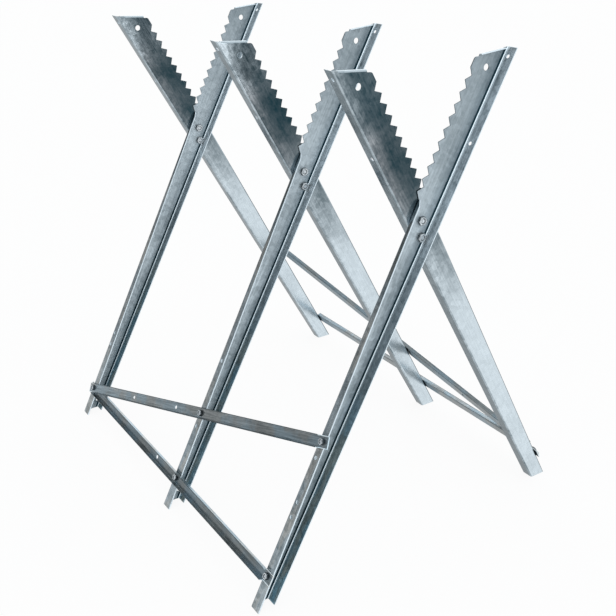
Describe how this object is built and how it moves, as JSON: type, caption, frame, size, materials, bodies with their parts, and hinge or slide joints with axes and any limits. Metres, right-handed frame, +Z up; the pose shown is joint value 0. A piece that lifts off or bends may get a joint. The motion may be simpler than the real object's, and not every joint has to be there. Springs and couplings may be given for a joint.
{
  "type": "log sawhorse",
  "caption": "Folding log sawhorse of folded sheet steel: crossed legs with toothed jaws that form V cradles for a log, tied by channel braces front and rear.",
  "frame": {"origin": "on the floor, under the middle of the sawhorse's overall box", "axes": "+X along the log, +Y to the rear, +Z up; the braces with the diagonal rising to +X are in front, at -Y"},
  "size_m": [0.7728, 0.637, 0.8],
  "materials": {
    "leg_sheet": "galvanised sheet, soft spangle, half bright",
    "brace_sheet": "galvanised sheet, duller and a little darker than the legs",
    "fastener_zinc": "bright zinc plate"
  },
  "bodies": {
    "front_frame": {"front_leg_left": "leg_sheet", "front_leg_middle": "leg_sheet", "front_leg_right": "leg_sheet", "front_low_brace": "brace_sheet", "front_diagonal_brace": "brace_sheet", "front_brace_bolts": "fastener_zinc", "front_brace_nuts": "fastener_zinc", "pivot_bolt_left": "fastener_zinc", "pivot_bolt_middle": "fastener_zinc", "pivot_bolt_right": "fastener_zinc", "pivot_nut_left": "fastener_zinc", "pivot_nut_middle": "fastener_zinc", "pivot_nut_right": "fastener_zinc", "lock_bolt_left": "fastener_zinc", "lock_bolt_middle": "fastener_zinc", "lock_bolt_right": "fastener_zinc", "lock_nut_left": "fastener_zinc", "lock_nut_middle": "fastener_zinc", "lock_nut_right": "fastener_zinc"},
    "rear_frame": {"rear_leg_left": "leg_sheet", "rear_leg_middle": "leg_sheet", "rear_leg_right": "leg_sheet", "rear_low_brace": "brace_sheet", "rear_diagonal_brace": "brace_sheet", "rear_brace_bolts": "fastener_zinc", "rear_brace_nuts": "fastener_zinc"}
  },
  "joints": [
    {"name": "fold", "type": "hinge", "parent": "front_frame", "child": "rear_frame", "pos_m": [0, 0, 0.566], "axis": [-1, 0, 0], "range_deg": [0, 52]}
  ]
}
